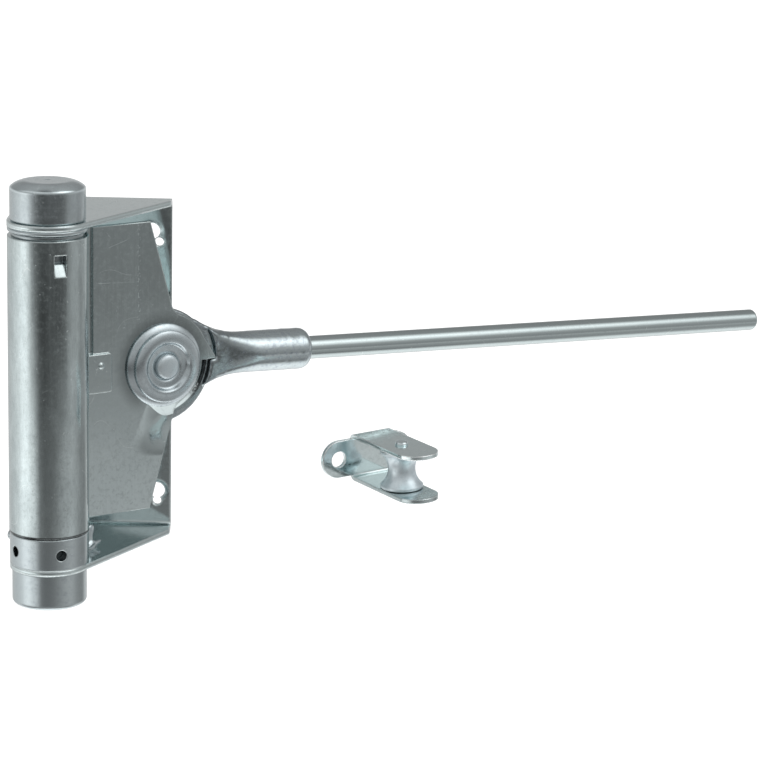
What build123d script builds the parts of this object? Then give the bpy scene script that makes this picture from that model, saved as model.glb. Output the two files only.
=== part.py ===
from build123d import *
import math
import os

# A spring gate closer, in millimetres. X runs along the back plate, Y points into the post, Z is up.
# The origin is on the back plate's mounting face, behind the barrel's axis, at mid height.

# Back bracket, one folded sheet
sheet = 2.0
bend = 1.2
plate_left = -15.1
plate_right = 42.3
axis_to_post = 52.0
ear_overhang = 0.1
ear_shoulder = 9.0
screw_hole_radius = 3.2
upper_screw_inset = 7.9
upper_screw_drop = 13.2
lower_screw_inset = 5.6
lower_screw_rise = 15.7
sink_depth = 0.6
sink_width = 1.4
tack_hole_radius = 1.7
tack_hole_down = 4.1
upper_tack_out = 3.0
lower_tack_out = 0.2

# Barrel and leaf, one rolled sheet
tube_radius = 15.0
wall = 2.0
barrel_height = 112.6
leaf_sheet = 2.0
leaf_depth = 5.35
leaf_swing = 33.8
leaf_shoulder = 46.25
leaf_slant = 15.9
root_fillet = 3.0
pivot_reach = 51.95
nose_radius = 20.3
lower_nose_radius = 17.3
nose_fillet = 6.5
stop_reach = 23.4
stop_rise = 0.9
stop_rise_angle = 32.0
seam_depth = 1.0
seam_reach = 21.55
tab_height = 15.0
tab_reach = 28.95
tab_sheet = 1.4
tab_corner = 1.0
nub_radius = 1.3
nub_height = 0.5
nub_reach = 24.35
nub_rise = 3.0
window_angle = -99.6
window_width = 4.6
window_height = 8.0
window_drop = 5.2
tongue_height = 4.4
tongue_lean = 2.3
tongue_side_gap = 0.2

# Clearances
running_gap = 0.06
face_gap = 0.25

# Upper bearing: plug in the tube, washer, and cap with its journal
journal_radius = 6.0
journal_end_gap = 2.0
plug_depth = 14.0
plug_rim_radius = 13.6
plug_rim = 1.4
washer_height = 1.95
washer_round = 0.8
cap_inset = 1.0
cap_height = 12.3
cap_dome = 2.4
cap_flat_radius = 8.0
cap_edge = 1.1
cap_under_chamfer = 0.5
centre_mark = 0.9

# Lower bearing: bush in the tube, welded collar, and the plug that winds the spring
bush_depth = 9.0
shaft_radius = 6.0
shaft_rise = 7.0
neck_radius = 10.0
collar_height = 12.15
collar_inset = 0.2
collar_chamfer = 0.4
lower_cap_height = 13.5
lower_cap_round = 1.6
tommy_radius = 2.1
tommy_first = 11.0
tommy_step = 77.0
tommy_count = 4
tommy_rise = 5.9
notch_count = 4
notch_depth = 4.5
pin_radius = 2.04
pin_length = 10.5
pin_parked = 0.3
weld_angle = 50.0
weld_bead_radius = 2.3
weld_swell = 0.3
weld_climb = 6.8
weld_ridge_run = 9.0
weld_ridge_count = 5
weld_skirt_angle = 48.0
weld_skirt_count = 5
weld_toe_run = 4.2
weld_toe_angle = 22.0
weld_toe_count = 3

# Torsion spring
wire_radius = 1.75
coil_play = 1.75
coil_turns = 12
tang_bend = 3.5
tang_play = 0.3
slot_play = 0.6
tang_seat = 6.0
tang_stop = 1.5
coil_end_gap = 1.8

# Arm, forged socket and round rod
eye_radius = 22.7
eye_drop = 1.1
eye_thickness = 5.0
eye_gap = 0.3
eye_front_round = 0.5
eye_back_round = 2.2
arm_droop = 3.28
arm_rise = 2.1
flare_radius = 14.5
flare_place = 15.0
flat_end = 30.0
ramp_end = 56.0
ramp_rise = 6.5
front_flat = 2.6
throat_radius = 8.1
throat_place = 37.0
socket_radius = 8.15
socket_start = 60.0
socket_end = 67.2
socket_round = 3.0
lug_clearance = 0.5
nose_clearance = 3.8
stop_gap = 0.3
rod_radius = 4.6
rod_grip = 22.4
rod_length = 259.3
rod_tip_round = 1.2

# Pivot rivet and its washers
rivet_radius = 5.0
rivet_stub = 4.6
rivet_edge = 0.5
rivet_head_radius = 9.0
rivet_head = 3.2
rivet_head_round = 2.4
base_washer_radius = 16.25
base_washer = 1.9
base_washer_slope = 1.1
cup_radius = 13.8
cup_crown_radius = 11.2
cup_floor_radius = 8.4
cup_crown = 2.7
cup_floor = 0.8
rear_washer_radius = 12.0
rear_washer = 1.5

# Roller bracket, which is screwed to the gate
clevis_sheet = 1.6
clevis_bend = 0.8
clevis_width = 16.3
clevis_height = 18.4
clevis_reach = 23.9
clevis_nose = 18.2
clevis_corner = 7.8
clevis_span = 39.7
clevis_ear_shift = -1.45
clevis_ear_height = 14.5
clevis_hole_radius = 3.1
clevis_hole_pitch = 28.6
roller_radius = 8.1
roller_waist = 5.2
roller_lip = 1.0
roller_play = 0.3
axle_radius = 2.0
axle_head_radius = 2.5
axle_head = 1.3
axle_head_round = 0.9
clevis_place = (132.2, -43.3, -27.7)
clevis_turn = 31.7
clevis_lean = -2.26

# Radii that follow the tube
bore_radius = tube_radius - wall
ear_radius = tube_radius + ear_overhang
cap_radius = tube_radius - cap_inset
collar_radius = tube_radius - collar_inset
lower_ear_radius = collar_radius
coil_radius = bore_radius - wire_radius - coil_play

# Levels and places that follow
plate_middle = (plate_left + plate_right) / 2
upper_stack = plug_rim + face_gap + washer_height + sheet
lower_stack = face_gap + collar_height + sheet
bracket_height = barrel_height + upper_stack + lower_stack
ear_outer = bracket_height / 2
ear_inner = ear_outer - sheet
barrel_top = ear_outer - upper_stack
barrel_foot = barrel_top - barrel_height
leaf_middle = (barrel_top + barrel_foot) / 2
plug_foot = barrel_top - plug_depth
washer_foot = ear_inner - washer_height
collar_foot = -ear_inner
collar_top = collar_foot + collar_height
tommy_level = collar_foot + tommy_rise
pin_angle = tommy_first - tommy_step * (tommy_count - 1)
bush_top = barrel_foot + bush_depth
shaft_top = bush_top + shaft_rise
coil_foot = bush_top + coil_end_gap + wire_radius
coil_top = plug_foot - coil_end_gap - wire_radius
tang_radius = math.hypot(coil_radius, tang_bend)
eye_front = -leaf_sheet - eye_gap
eye_back = eye_front - eye_thickness
arm_axis = eye_front - eye_thickness / 2
rear_washer_front = eye_back - face_gap
rivet_foot = rear_washer_front - rear_washer
rod_start = socket_end - rod_grip
roller_height = clevis_height - 2 * clevis_sheet - 2 * roller_play

# Frames: the fixed axis, the barrel as it stands open, its pivot seen from the front, arm and clevis
axis = Pos(0, -axis_to_post, 0)
barrel = axis * Rot(0, 0, leaf_swing)
pivot = Pos(pivot_reach, leaf_depth, leaf_middle) * Rot(90, 0, 0)
arm = barrel * pivot * Rot(0, 0, -arm_droop)
clevis = Pos(*clevis_place) * Rot(0, 0, clevis_turn) * Rot(0, clevis_lean, 0)


def rod_solid(radius, low, high):
    """A cylinder about Z between two heights."""
    return Pos(0, 0, low) * Cylinder(radius, high - low, align=(Align.CENTER, Align.CENTER, Align.MIN))


def turned(*corners):
    """A solid of revolution about Z from (radius, height) corners."""
    outline = Polyline(*[(radius, 0, height) for radius, height in corners], close=True)
    return revolve(make_face(outline), Axis.Z)


def block(low, high):
    """A box between two opposite corners."""
    size = [b - a for a, b in zip(low, high)]
    return Pos(*low) * Box(*size, align=(Align.MIN, Align.MIN, Align.MIN))


def channel(left, right, depth, height, thickness, radius):
    """A sheet bent to a U: its back lies on y = 0 and its two legs point to -Y."""
    outer = Pos(-depth / 2, 0) * Rectangle(depth, height)
    outer = fillet(outer.vertices().group_by(Axis.X)[-1], radius + thickness)
    inner = Pos(-thickness - depth / 2, 0) * Rectangle(depth, height - 2 * thickness)
    inner = fillet(inner.vertices().group_by(Axis.X)[-1], radius)
    return Pos(left, 0, 0) * extrude(Plane.YZ * (outer - inner), right - left)


def ear_plan(radius):
    """The bracket from above, from the back plate to a ring round the barrel's axis."""
    ring = axis * Circle(radius)
    foot = Pos(plate_middle, -ear_shoulder / 2) * Rectangle(plate_right - plate_left, ear_shoulder)
    return make_hull([*ring.edges(), *foot.edges()])


def back_bracket():
    """Back plate and two ears that taper to the barrel, the lower one to the collar's size."""
    reach = axis_to_post + ear_radius
    body = channel(plate_left, plate_right, reach, bracket_height, sheet, bend)
    upper = extrude(ear_plan(ear_radius), bracket_height / 2)
    body &= upper + extrude(ear_plan(lower_ear_radius), -bracket_height / 2)
    body -= axis * rod_solid(journal_radius, 0, ear_outer)
    body -= axis * rod_solid(neck_radius, -ear_outer, 0)
    for side in (1, -1):
        for inset, z, out in ((upper_screw_inset, ear_outer - upper_screw_drop, upper_tack_out),
                              (lower_screw_inset, lower_screw_rise - ear_outer, lower_tack_out)):
            hole = rod_solid(screw_hole_radius, 0, sheet)
            hole += turned((0, sheet - sink_depth), (screw_hole_radius, sheet - sink_depth),
                           (screw_hole_radius + sink_width, sheet), (0, sheet))
            hole += Pos(side * out, -tack_hole_down) * rod_solid(tack_hole_radius, 0, sheet)
            x = plate_middle + side * (plate_right - inset - plate_middle)
            body -= Pos(x, 0, z) * Rot(90, 0, 0) * hole
    return body


def tension_collar():
    """Ring on the lower ear, with holes for the tommy bar and the pin."""
    ring = rod_solid(collar_radius, collar_foot, collar_top)
    ring = chamfer(ring.edges().group_by(Axis.Z)[-1], collar_chamfer)
    ring -= rod_solid(neck_radius, collar_foot, collar_top)
    for index in range(tommy_count):
        turn = Rot(0, 0, tommy_first - index * tommy_step)
        ring -= turn * Pos(0, 0, tommy_level) * Rot(0, 90, 0) * rod_solid(tommy_radius, 0, collar_radius + 1)
    return axis * ring


def collar_weld():
    """Lumpy weld on the lower ear: a ridge that climbs the collar, with a skirt and a toe of beads."""
    start = collar_radius + weld_bead_radius / 3
    places = []
    for index in range(weld_ridge_count):
        share = index / (weld_ridge_count - 1)
        places.append((0, start + weld_ridge_run * share, weld_climb * (1 - share)**1.4))
    for index in range(weld_skirt_count):
        places.append((weld_skirt_angle * (index / (weld_skirt_count - 1) - 0.5), start, 0))
    for index in range(weld_toe_count):
        places.append((weld_toe_angle * (index / (weld_toe_count - 1) - 0.5), start + weld_toe_run, 0))
    bead = Part()
    for index, (turn, reach, height) in enumerate(places):
        radius = weld_bead_radius + weld_swell * math.sin(index * 2.3)
        bead += Rot(0, 0, weld_angle + turn) * Pos(reach, 0, collar_foot + height) * Sphere(radius)
    bead -= rod_solid(collar_radius, collar_foot - 2 * weld_bead_radius, collar_top)
    return axis * (bead & rod_solid(2 * collar_radius, collar_foot, collar_top))


def upper_cap():
    """Turned cap with a low domed top, and the journal that the barrel's upper end turns on."""
    rim = ear_outer + cap_height
    top = rim + cap_dome
    shoulder = TangentArc((cap_flat_radius, 0, top), (cap_radius, 0, rim), tangent=(1, 0, 0))
    sides = Polyline((cap_radius, 0, rim), (cap_radius, 0, ear_outer), (0, 0, ear_outer), (0, 0, top),
                     (cap_flat_radius, 0, top))
    cap = revolve(make_face([shoulder, *sides.edges()]), Axis.Z)
    rings = cap.edges().filter_by(lambda edge: edge.is_closed).sort_by(Axis.Z)
    cap = chamfer(rings[0], cap_under_chamfer)
    rings = cap.edges().filter_by(lambda edge: edge.is_closed).sort_by(Axis.Z)
    cap = fillet(rings[-2], cap_edge)
    cap -= turned((0, top - centre_mark), (centre_mark, top), (0, top))
    return axis * (cap + rod_solid(journal_radius, plug_foot + journal_end_gap, ear_outer))


def thrust_washer():
    """Ring between the upper ear and the barrel's plug."""
    ring = rod_solid(tube_radius, washer_foot, ear_inner)
    ring = fillet(ring.edges().filter_by(GeomType.CIRCLE), washer_round)
    return axis * (ring - rod_solid(journal_radius + running_gap, washer_foot, ear_inner))


def tension_plug():
    """Lower cap, neck with notches for the pin, and shaft with a slot for the spring, in one piece."""
    cap_top = -ear_outer - face_gap
    cap = rod_solid(cap_radius, cap_top - lower_cap_height, cap_top)
    cap = fillet(cap.edges().group_by(Axis.Z)[0], lower_cap_round)
    neck = rod_solid(neck_radius - running_gap, cap_top, collar_top)
    plug = cap + neck + rod_solid(shaft_radius, collar_top, shaft_top)
    for index in range(notch_count):
        turn = Rot(0, 0, pin_angle + index * 360 / notch_count)
        place = Pos(neck_radius - notch_depth, 0, tommy_level) * Rot(0, 90, 0)
        plug -= turn * place * rod_solid(tommy_radius, 0, notch_depth)
    slot_half = wire_radius + slot_play
    slot = block((-shaft_radius, -slot_half, coil_foot - slot_half), (shaft_radius, slot_half, shaft_top))
    return axis * (plug - Rot(0, 0, leaf_swing) * slot)


def tension_pin():
    """Round pin in the rear collar hole, drawn back out of the plug's notch."""
    pin = rod_solid(pin_radius, neck_radius + pin_parked, neck_radius + pin_parked + pin_length)
    return axis * Rot(0, 0, pin_angle) * Pos(0, 0, tommy_level) * Rot(0, 90, 0) * pin


def lower_bush():
    """Bush pressed in the tube's lower end."""
    bush = rod_solid(bore_radius, barrel_foot, bush_top)
    return barrel * (bush - rod_solid(shaft_radius + running_gap, barrel_foot, bush_top))


def window_box(inner, outer, low, high, width):
    """A box at the tube's window between two radii and two heights."""
    return Rot(0, 0, window_angle) * block((inner, -width / 2, low), (outer, width / 2, high))


def upper_spring_plug(tang_angle):
    """Flanged plug pressed in the tube's upper end, held by the window's tongue."""
    plug = turned((0, plug_foot), (bore_radius, plug_foot), (bore_radius, barrel_top),
                  (plug_rim_radius, barrel_top), (plug_rim_radius, barrel_top + plug_rim),
                  (0, barrel_top + plug_rim))
    plug -= rod_solid(journal_radius + running_gap, plug_foot, barrel_top + plug_rim)
    pocket = bore_radius - tongue_lean - face_gap
    plug -= window_box(pocket, tube_radius, plug_foot, barrel_top - window_drop, window_width)
    seat = rod_solid(wire_radius + tang_play, plug_foot, plug_foot + tang_seat + tang_play)
    plug -= Rot(0, 0, tang_angle) * Pos(tang_radius, 0) * seat
    return barrel * plug


def leaf_outline():
    """The leaf seen from the front: slanted edges, round nose, and a step that stops the arm."""
    half = barrel_height / 2
    tip = leaf_shoulder + half * math.tan(math.radians(leaf_slant))
    sheet_face = make_face(Polyline((0, -half), (leaf_shoulder, -half), (tip, 0), (leaf_shoulder, half),
                                    (0, half), close=True))
    upper_side = Pos(0, nose_radius) * Rectangle(2 * nose_radius, 2 * nose_radius)
    rise = math.radians(stop_rise_angle)
    lug = make_face(Polyline((0, 0), (stop_reach, 0), (stop_reach, stop_rise),
                             (nose_radius * math.cos(rise), nose_radius * math.sin(rise)), close=True))
    nose = (Circle(nose_radius) & upper_side) + lug + Circle(lower_nose_radius)
    outline = sheet_face + Pos(pivot_reach, 0) * nose
    centre = Vector(pivot_reach, 0, 0)

    def on_circle(radius):
        return outline.vertices().filter_by(lambda v: abs((Vector(*v) - centre).length - radius) < 0.01)

    corners = [on_circle(nose_radius).sort_by(Axis.Y)[-1], on_circle(lower_nose_radius).sort_by(Axis.Y)[0]]
    return fillet(corners, nose_fillet)


def barrel_leaf():
    """Tube and leaf rolled from one sheet, with window, seam, clinched tab and rivet hole."""
    tube = rod_solid(tube_radius, barrel_foot, barrel_top)
    leaf = Pos(0, leaf_depth, leaf_middle) * Rot(90, 0, 0) * extrude(leaf_outline(), -leaf_sheet)
    body = tube + leaf
    rear = leaf_depth + leaf_sheet
    root = Vector(math.sqrt(tube_radius**2 - rear**2), rear, leaf_middle)
    body = fillet(body.edges().filter_by(Axis.Z).sort_by_distance(root)[0], root_fillet)

    tab_top = leaf_middle + tab_height / 2
    tab = block((0, leaf_depth - tab_sheet, leaf_middle - tab_height / 2), (tab_reach, leaf_depth, tab_top))
    tab = fillet(tab.edges().filter_by(Axis.Y).group_by(Axis.X)[-1], tab_corner)
    nub_place = Pos(nub_reach, leaf_depth - tab_sheet, leaf_middle + nub_rise)
    nub = turned((0, 0), (nub_radius, 0), (nub_radius / 2, nub_height), (0, nub_height))
    nub = nub_place * Rot(90, 0, 0) * nub
    seam = block((0, leaf_depth, tab_top), (seam_reach, leaf_depth + seam_depth, barrel_top))
    seam -= rod_solid(tube_radius, barrel_foot, barrel_top)
    body = body + tab + nub - seam - rod_solid(bore_radius, barrel_foot, barrel_top)

    window_top = barrel_top - window_drop
    window_foot = window_top - window_height
    body -= window_box(0, tube_radius + 1, window_foot, window_top, window_width)
    tongue = make_face(Polyline((bore_radius, window_foot), (tube_radius, window_foot),
                                (tube_radius - tongue_lean, window_foot + tongue_height),
                                (bore_radius - tongue_lean, window_foot + tongue_height), close=True))
    tongue_width = window_width - 2 * tongue_side_gap
    body += Rot(0, 0, window_angle) * extrude(Plane.XZ * tongue, tongue_width / 2, both=True)
    return barrel * (body - pivot * rod_solid(rivet_radius + running_gap, -leaf_sheet, 0))


def biarc(start, heading, end, end_heading):
    """Two tangent arcs from start to end that leave along heading and arrive along end_heading."""
    chord = end - start
    both = heading + end_heading
    spread = 2 * (1 - heading.dot(end_heading))
    slide = chord.dot(both)
    reach = (math.sqrt(slide**2 + spread * chord.dot(chord)) - slide) / spread
    middle = (start + heading * reach + end - end_heading * reach) * 0.5
    first = TangentArc(start, middle, tangent=heading)
    return [first, TangentArc(middle, end, tangent=first % 1)]


def spring_path():
    """The wire's centre line, and the angle where its upper end stands up into the plug."""
    inset = math.sqrt(coil_radius**2 - 2 * coil_radius * tang_bend)
    first_angle = math.atan2(tang_bend, inset)
    half_turns = 2 * coil_turns
    climb = (coil_top - coil_foot) / half_turns
    slope = climb / (math.pi * coil_radius)

    def on_coil(index):
        angle = first_angle + math.pi * index
        x = coil_radius * math.cos(angle)
        y = coil_radius * math.sin(angle)
        heading = Vector(-math.sin(angle), math.cos(angle), slope).normalized()
        return Vector(x, y, coil_foot + climb * index), heading

    level = coil_foot - slope * tang_bend
    tang_end = Vector(inset, 0, level)
    edges = [Line((tang_stop, 0, level), tang_end)]
    place, heading = on_coil(0)
    edges += biarc(tang_end, Vector(1, 0, 0), place, heading)
    for index in range(half_turns):
        next_place, next_heading = on_coil(index + 1)
        edges += biarc(place, heading, next_place, next_heading)
        place, heading = next_place, next_heading
    flat = Vector(heading.X, heading.Y, 0).normalized()
    stand = place + flat * tang_bend + Vector(0, 0, tang_bend)
    edges += biarc(place, heading, stand, Vector(0, 0, 1))
    edges.append(Line(stand, Vector(stand.X, stand.Y, plug_foot + tang_seat)))
    return edges, math.degrees(math.atan2(stand.Y, stand.X))


def torsion_spring(edges):
    """Wound wire: a tang in the tension plug's slot, the coils, and a tang in the upper plug."""
    path = Wire(edges)
    section = Plane(origin=path @ 0, z_dir=path % 0) * Circle(wire_radius)
    return barrel * sweep(section, path=path)


def pivot_rivet():
    """Rivet through leaf and eye: a stub in front, a domed head behind."""
    stub = rod_solid(rivet_radius, rivet_foot, rivet_stub)
    stub = chamfer(stub.edges().group_by(Axis.Z)[-1], rivet_edge)
    head = rod_solid(rivet_head_radius, rivet_foot - rivet_head, rivet_foot)
    head = fillet(head.edges().group_by(Axis.Z)[0], rivet_head_round)
    return barrel * pivot * (stub + head)


def pivot_base_washer():
    """Flat ring on the leaf, its rim sloped."""
    edge = base_washer - base_washer_slope
    ring = turned((rivet_radius, 0), (base_washer_radius, 0), (base_washer_radius, edge),
                  (base_washer_radius - base_washer_slope, base_washer), (rivet_radius, base_washer))
    return barrel * pivot * ring


def pivot_cup_washer():
    """Dished washer: it rises from its edge to a round crown and drops to a floor round the rivet."""
    edge = cup_radius - 0.5 * cup_floor
    rim = ThreePointArc((cup_radius, 0, 0), (edge, 0, cup_crown / 2), (cup_crown_radius, 0, cup_crown))
    drop = ThreePointArc((cup_crown_radius, 0, cup_crown), (cup_floor_radius + 1.0, 0, cup_crown * 0.72),
                         (cup_floor_radius, 0, cup_floor))
    rest = Polyline((cup_floor_radius, 0, cup_floor), (rivet_radius, 0, cup_floor), (rivet_radius, 0, 0),
                    (cup_radius, 0, 0))
    return barrel * pivot * Pos(0, 0, base_washer) * revolve(make_face([rim, drop, *rest.edges()]), Axis.Z)


def rivet_washer():
    """Plain washer between the eye and the rivet's head."""
    ring = rod_solid(rear_washer_radius, rivet_foot, rear_washer_front)
    return barrel * pivot * (ring - rod_solid(rivet_radius, rivet_foot, rear_washer_front))


def arm_socket():
    """Forged eye, flat shoulder, throat and socket, stepped to clear and to stop on the leaf's nose."""
    eye = Pos(0, -eye_drop) * rod_solid(eye_radius, eye_back, eye_front)
    eye = fillet(eye.edges().group_by(Axis.Z)[-1], eye_front_round)
    eye = fillet(eye.edges().group_by(Axis.Z)[0], eye_back_round)

    flare = TangentArc((throat_place, throat_radius), (flare_place, flare_radius), tangent=(-1, 0))
    outline = Polyline((flare_place, flare_radius), (flare_place, 0), (socket_end, 0),
                       (socket_end, socket_radius), (socket_start, socket_radius),
                       (throat_place, throat_radius))
    spindle = revolve(make_face([flare, *outline.edges()]), Axis.X)
    mouth = spindle.edges().filter_by(GeomType.CIRCLE).sort_by(Axis.X)[-1]
    spindle = fillet(mouth, socket_round)
    spindle = Pos(0, arm_rise, arm_axis) * spindle

    front = eye_front + front_flat
    flats = make_face(Polyline((0, front), (flat_end, front), (ramp_end, front + ramp_rise),
                               (socket_end, front + ramp_rise), (socket_end, eye_back - ramp_rise),
                               (ramp_end, eye_back - ramp_rise), (flat_end, eye_back), (0, eye_back),
                               close=True))
    spindle &= extrude(Plane.XZ * flats, flare_radius + arm_rise, both=True)

    span = 2 * eye_radius
    opening = rod_solid(stop_reach + lug_clearance, eye_front, front)
    opening &= Rot(0, 0, arm_droop) * block((-span, -stop_gap, eye_front), (span, span, front))
    opening += rod_solid(lower_nose_radius + nose_clearance, eye_front, front)
    body = eye + spindle - opening
    body -= rod_solid(rivet_radius + running_gap, eye_back, eye_front)
    return arm * (body - rod_bar(rod_start, socket_end))


def rod_bar(start, end):
    """The rod's round section along the arm between two distances from the pivot."""
    return Pos(0, arm_rise, arm_axis) * Rot(0, 90, 0) * rod_solid(rod_radius, start, end)


def arm_rod():
    """Round rod fixed in the socket, its tip rounded."""
    bar = rod_bar(rod_start, rod_start + rod_length)
    tip = bar.edges().filter_by(GeomType.CIRCLE).sort_by(Axis.X)[-1]
    return arm * fillet(tip, rod_tip_round)


def roller_bracket():
    """Clevis folded from a cross of sheet: two round-nosed flanges and two ears with screw holes."""
    length = clevis_reach + clevis_nose
    plan = Pos(0, clevis_reach - length / 2) * Rectangle(clevis_width, length)
    plan = fillet(plan.vertices().group_by(Axis.Y)[0], clevis_corner)
    fold = channel(-clevis_width / 2, clevis_width / 2, length, clevis_height, clevis_sheet, clevis_bend)
    body = Pos(0, clevis_reach, 0) * fold & extrude(plan, clevis_height / 2, both=True)
    ears = Pos(clevis_ear_shift, 0) * extrude(SlotOverall(clevis_span, clevis_ear_height), clevis_sheet)
    for side in (-1, 1):
        ears -= Pos(side * clevis_hole_pitch / 2, 0) * rod_solid(clevis_hole_radius, 0, clevis_sheet)
    body += Pos(0, clevis_reach, 0) * Rot(90, 0, 0) * ears
    return clevis * (body - rod_solid(axle_radius, -clevis_height / 2, clevis_height / 2))


def roller():
    """Roller with a round groove for the rod."""
    half = roller_height / 2
    bore = axle_radius + running_gap
    groove = ThreePointArc((roller_radius, 0, half - roller_lip), (roller_waist, 0, 0),
                           (roller_radius, 0, roller_lip - half))
    outline = Polyline((roller_radius, 0, roller_lip - half), (roller_radius, 0, -half), (bore, 0, -half),
                       (bore, 0, half), (roller_radius, 0, half), (roller_radius, 0, half - roller_lip))
    return clevis * revolve(make_face([groove, *outline.edges()]), Axis.Z)


def roller_axle():
    """Riveted pin with a domed head at each end."""
    half = clevis_height / 2
    pin = rod_solid(axle_radius, -half, half)
    head = rod_solid(axle_head_radius, 0, axle_head)
    head = fillet(head.edges().group_by(Axis.Z)[-1], axle_head_round)
    pin += Pos(0, 0, half) * head
    pin += Pos(0, 0, -half) * Rot(180, 0, 0) * head
    return clevis * pin


spring_edges, tang_angle = spring_path()
coil_pitch = (coil_top - coil_foot) / coil_turns
print("least gap between the spring's turns:", round(coil_pitch - 2 * wire_radius, 2), "mm")

parts = {
    "back_bracket": back_bracket(),
    "tension_collar": tension_collar(),
    "collar_weld": collar_weld(),
    "upper_cap": upper_cap(),
    "thrust_washer": thrust_washer(),
    "upper_spring_plug": upper_spring_plug(tang_angle),
    "barrel_leaf": barrel_leaf(),
    "torsion_spring": torsion_spring(spring_edges),
    "lower_bush": lower_bush(),
    "tension_plug": tension_plug(),
    "tension_pin": tension_pin(),
    "pivot_rivet": pivot_rivet(),
    "pivot_base_washer": pivot_base_washer(),
    "pivot_cup_washer": pivot_cup_washer(),
    "rivet_washer": rivet_washer(),
    "arm_socket": arm_socket(),
    "arm_rod": arm_rod(),
    "roller_bracket": roller_bracket(),
    "roller": roller(),
    "roller_axle": roller_axle(),
}

os.makedirs("parts", exist_ok=True)
for name, shape in parts.items():
    export_step(shape, f"parts/{name}.step")
    print(name, len(shape.solids()), "solid", round(shape.volume), "mm3")
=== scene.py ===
import math

import bmesh
import bpy
import numpy as np
from mathutils import Matrix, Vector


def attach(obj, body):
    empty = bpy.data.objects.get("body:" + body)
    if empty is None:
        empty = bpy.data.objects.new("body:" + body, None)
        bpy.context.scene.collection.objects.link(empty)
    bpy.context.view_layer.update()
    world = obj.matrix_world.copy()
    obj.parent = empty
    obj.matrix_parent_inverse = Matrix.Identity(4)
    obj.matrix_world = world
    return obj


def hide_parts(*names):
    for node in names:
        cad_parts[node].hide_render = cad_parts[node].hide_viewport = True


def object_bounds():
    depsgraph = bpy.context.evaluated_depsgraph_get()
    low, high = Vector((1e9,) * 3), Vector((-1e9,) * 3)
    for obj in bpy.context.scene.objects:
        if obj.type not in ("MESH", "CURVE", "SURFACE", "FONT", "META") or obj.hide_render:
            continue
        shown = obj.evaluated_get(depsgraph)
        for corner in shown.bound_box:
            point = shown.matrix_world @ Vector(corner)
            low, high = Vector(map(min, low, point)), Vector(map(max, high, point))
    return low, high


bl_info = {
    "name": "Spring gate closer",
    "version": (1, 0, 0),
    "blender": (4, 5, 0),
    "location": "View3D > Sidebar > Gate closer",
    "description": "Zinc finishes, weld and studio for a spring gate closer",
    "category": "Object",
}

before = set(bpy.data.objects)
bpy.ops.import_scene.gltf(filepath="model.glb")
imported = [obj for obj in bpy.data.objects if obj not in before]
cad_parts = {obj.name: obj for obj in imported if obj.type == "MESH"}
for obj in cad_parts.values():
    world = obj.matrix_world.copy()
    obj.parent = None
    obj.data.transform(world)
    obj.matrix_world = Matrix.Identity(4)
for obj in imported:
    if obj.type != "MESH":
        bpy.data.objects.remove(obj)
cad_low, cad_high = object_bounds()

# Places and sizes of the part, in metres and radians, as its source has them
BARREL_AXIS = (0.0, -0.052, 0.0)
LEAF_SWING = math.radians(33.8)
PIVOT_REACH = 0.05195
LEAF_DEPTH = 0.00535
LEAF_MIDDLE = 0.0044
ARM_DROOP = math.radians(3.28)
COLLAR_RADIUS = 0.0148
LOWER_EAR_TOP = -0.0643
CLEVIS_FLOOR = -0.0353
CAP_EDGE = 0.0776
TUBE_FOOT = -0.0519
RIVET_RADIUS = 0.005
RIVET_FOOT = -0.00905

# Local frames: the barrel with x along the leaf, the pivot seen from the front, and the arm
BARREL = Matrix.Translation(BARREL_AXIS) @ Matrix.Rotation(LEAF_SWING, 4, "Z")
PIVOT = (BARREL @ Matrix.Translation((PIVOT_REACH, LEAF_DEPTH, LEAF_MIDDLE))
         @ Matrix.Rotation(math.radians(90), 4, "X"))
ARM = PIVOT @ Matrix.Rotation(-ARM_DROOP, 4, "Z")

# How a point is stretched along x, y and z before the grain's noise reads it
GRAINS = {
    "sheet": (900.0, 900.0, 24.0),
    "turned": (900.0, 900.0, 0.0),
    "drawn": (22.0, 700.0, 700.0),
    "forged": (620.0, 620.0, 620.0),
}

# Fineness of the plating's patterns, in cells per metre
CLOUD_SCALE = 46.0
HAIRLINE_SCALE = 52.0
WAVE_SCALE = 190.0
PATCH_SCALE = 620.0
PEBBLE_SCALE = 820.0
FLECK_SCALE = 900.0

# Half of a hairline's width, as the distance of a noise from its middle
HAIRLINE_WIDTH = 0.004

# How far the plating's patterns change the roughness, and how deep a fleck is
CLOUD_ROUGHNESS = 0.08
FLECK_ROUGHNESS = 0.35
HAIRLINE_ROUGHNESS = 0.3
FLECK_DEPTH = 0.00002

# Where the tool held the leaf's blank, in the barrel's frame: its edge and the line that it drew
TOOL_EDGE = 0.0413
TOOL_LINE = 0.0390
TOOL_LINE_START = 0.0235
TOOL_LINE_SLOPE = -0.06
SCRATCH_HALF_WIDTH = 0.00018
SCRATCH_FADE = 0.0008

# Scratches on the leaf: start and end along x, a point's x and z, slope and strength
LEAF_SCRATCHES = (
    (0.0235, 0.0292, TOOL_LINE_START, TOOL_LINE, TOOL_LINE_SLOPE, 0.7),
    (0.0290, TOOL_EDGE, TOOL_LINE_START, TOOL_LINE, TOOL_LINE_SLOPE, 0.2),
    (0.0280, 0.0366, 0.0283, 0.0522, 0.3, 0.5),
)

# Spans over which a look changes, as (start, end) in metres: from the tube's axis, from the
# pivot, along the arm from the pivot, and up the leaf
TUBE_TO_LEAF = (0.0152, 0.0158)
# From the pivot, over this span the painted shade round the washers fades out
WASHER_SHADE_SPAN = (0.0158, 0.0225)
DISH_FADE = (0.0190, 0.0360)
THROAT_ENTRY = (0.024, 0.030)
THROAT_EXIT = (0.054, 0.062)
# Along the arm, over this span the painted shade on the forging's eye gives way to the socket
EYE_TO_SOCKET = (0.026, 0.044)
STRIP_START = (0.022, 0.034)
SPECKS_START = (0.018, 0.024)
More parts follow.
